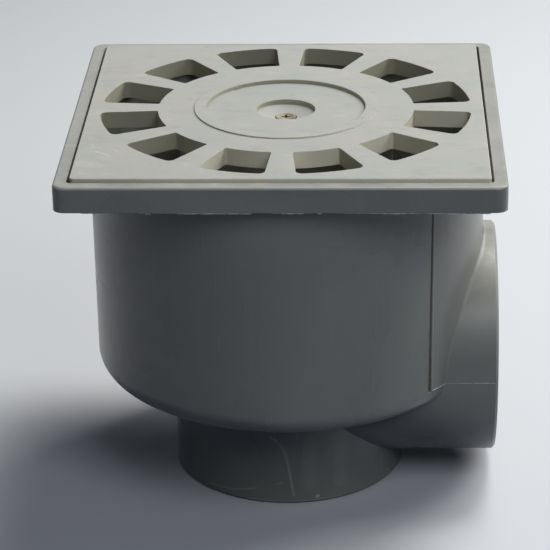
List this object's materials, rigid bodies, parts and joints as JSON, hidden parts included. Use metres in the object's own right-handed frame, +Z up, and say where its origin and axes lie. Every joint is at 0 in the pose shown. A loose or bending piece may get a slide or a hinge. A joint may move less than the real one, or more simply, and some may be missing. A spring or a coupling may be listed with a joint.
{
  "type": "gully trap",
  "caption": "Square-framed floor gully with a slotted lift-out grate, a bell-type water seal, and pipe-size outlets below and at the side.",
  "frame": {"origin": "centre of the bottom outlet's end face, on the pot's axis, at the part's lowest level", "axes": "+Z up along the pot's axis towards the grate; +X along the side outlet, out of its end; +Y completes the right-handed set"},
  "size_m": [0.199, 0.199, 0.1811],
  "materials": {
    "body_pvc": "moulded grey PVC, satin to glossy",
    "grate_pvc": "moulded grey PVC, matt and lightly soiled",
    "bell_pvc": "moulded grey PVC",
    "screw_brass": "dull brass"
  },
  "bodies": {
    "root": {"body": "body_pvc", "grate": "grate_pvc", "bell": "bell_pvc", "centre_screw": "screw_brass"}
  },
  "joints": []
}
